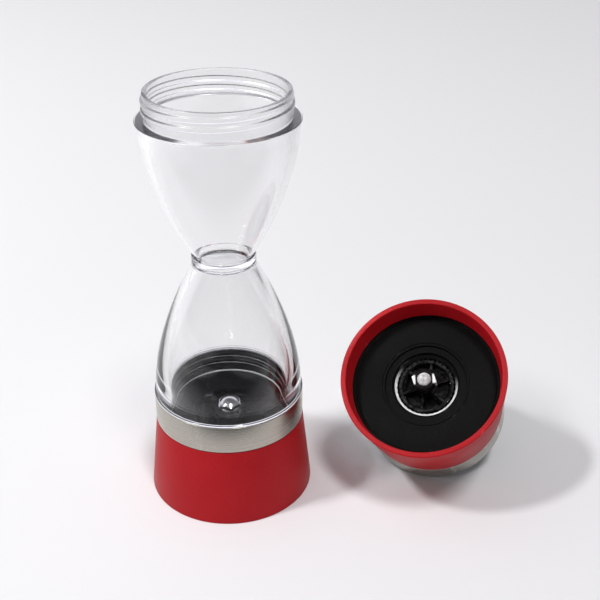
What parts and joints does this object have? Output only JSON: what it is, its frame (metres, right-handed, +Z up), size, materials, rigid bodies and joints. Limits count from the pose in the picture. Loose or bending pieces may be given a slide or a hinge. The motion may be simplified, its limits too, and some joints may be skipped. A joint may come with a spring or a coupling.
{
  "type": "spice mill",
  "caption": "Hourglass spice mill with a clear jar and a burr grinding head for each end; one head is screwed on as the base, the other lies beside it.",
  "frame": {"origin": "centre of the foot on the table, on the mill's axis", "axes": "+Z up along the jar; the loose head lies towards +X, with its foot end facing -Y and up"},
  "size_m": [0.1276, 0.0947, 0.1514],
  "materials": {
    "red_shell": "satin moulded plastic, deep red",
    "black_moulding": "fine matt moulded black",
    "black_gloss_moulding": "smooth moulded black",
    "burr_ceramic": "black glazed burr",
    "bright_steel": "polished plated steel",
    "spring_steel": "drawn steel wire",
    "brushed_band": "sheet steel brushed along the band",
    "clear_acrylic": "clear moulded acrylic",
    "silicone": "translucent white silicone"
  },
  "bodies": {
    "lower_grip": {"lower_skirt": "red_shell", "lower_cover_plate": "black_moulding", "lower_outer_burr": "burr_ceramic"},
    "lower_drive": {"lower_drive_shaft": "bright_steel", "lower_burr_spring": "spring_steel", "lower_feed_bridge": "black_gloss_moulding", "lower_bridge_washer": "bright_steel", "lower_dome_nut": "bright_steel", "lower_thread_collar": "black_gloss_moulding", "lower_retaining_clip": "black_moulding", "lower_steel_band": "brushed_band"},
    "lower_rotor": {"lower_inner_burr": "burr_ceramic"},
    "lower_nut": {"lower_adjusting_nut": "bright_steel"},
    "jar_seal": {"lower_neck_seal": "silicone"},
    "jar": {"lower_cup": "clear_acrylic", "upper_cup": "clear_acrylic"},
    "upper_drive": {"upper_drive_shaft": "bright_steel", "upper_burr_spring": "spring_steel", "upper_feed_bridge": "black_gloss_moulding", "upper_bridge_washer": "bright_steel", "upper_dome_nut": "bright_steel", "upper_thread_collar": "black_gloss_moulding", "upper_retaining_clip": "black_moulding", "upper_steel_band": "brushed_band", "upper_neck_seal": "silicone"},
    "upper_grip": {"upper_skirt": "red_shell", "upper_cover_plate": "black_moulding", "upper_outer_burr": "burr_ceramic"},
    "upper_rotor": {"upper_inner_burr": "burr_ceramic"},
    "upper_nut": {"upper_adjusting_nut": "bright_steel"}
  },
  "joints": [
    {"name": "lower_grind", "type": "hinge", "parent": "lower_grip", "child": "lower_drive", "pos_m": [0, 0, 0.0292], "axis": [0, 0, 1], "continuous": true},
    {"name": "lower_coarseness", "type": "slide", "parent": "lower_drive", "child": "lower_rotor", "axis": [0, 0, -1], "range_m": [0, 0.0012], "deforming": ["lower_burr_spring"]},
    {"name": "lower_nut_turn", "type": "hinge", "parent": "lower_rotor", "child": "lower_nut", "pos_m": [0, 0, 0.0054], "axis": [0, 0, -1], "range_deg": [0, 541]},
    {"name": "jar_turn", "type": "hinge", "parent": "lower_drive", "child": "jar_seal", "pos_m": [0, 0, 0.0306], "axis": [0, 0, 1], "range_deg": [0, 1170]},
    {"name": "jar_rise", "type": "slide", "parent": "jar_seal", "child": "jar", "axis": [0, 0, 1], "range_m": [0, 0.0098]},
    {"name": "upper_head_lift", "type": "slide", "parent": "lower_grip", "child": "upper_drive", "axis": [0, 0, 1], "range_m": [0, 0.12]},
    {"name": "upper_grind", "type": "hinge", "parent": "upper_drive", "child": "upper_grip", "pos_m": [0.0676, 0.03712, 0.02519], "axis": [0, -0.6307, 0.776], "continuous": true},
    {"name": "upper_coarseness", "type": "slide", "parent": "upper_drive", "child": "upper_rotor", "axis": [0, -0.6307, 0.776], "range_m": [0, 0.0012], "deforming": ["upper_burr_spring"]},
    {"name": "upper_nut_turn", "type": "hinge", "parent": "upper_rotor", "child": "upper_nut", "pos_m": [0.0676, 0.02211, 0.04366], "axis": [0, -0.6307, 0.776], "range_deg": [0, 541]}
  ],
  "couplings": [
    {"joint": "lower_nut_turn", "follows": "lower_coarseness", "rad_per_m": 7854},
    {"joint": "jar_rise", "follows": "jar_turn", "m_per_rad": 0.00047746},
    {"joint": "upper_nut_turn", "follows": "upper_coarseness", "rad_per_m": 7854}
  ]
}
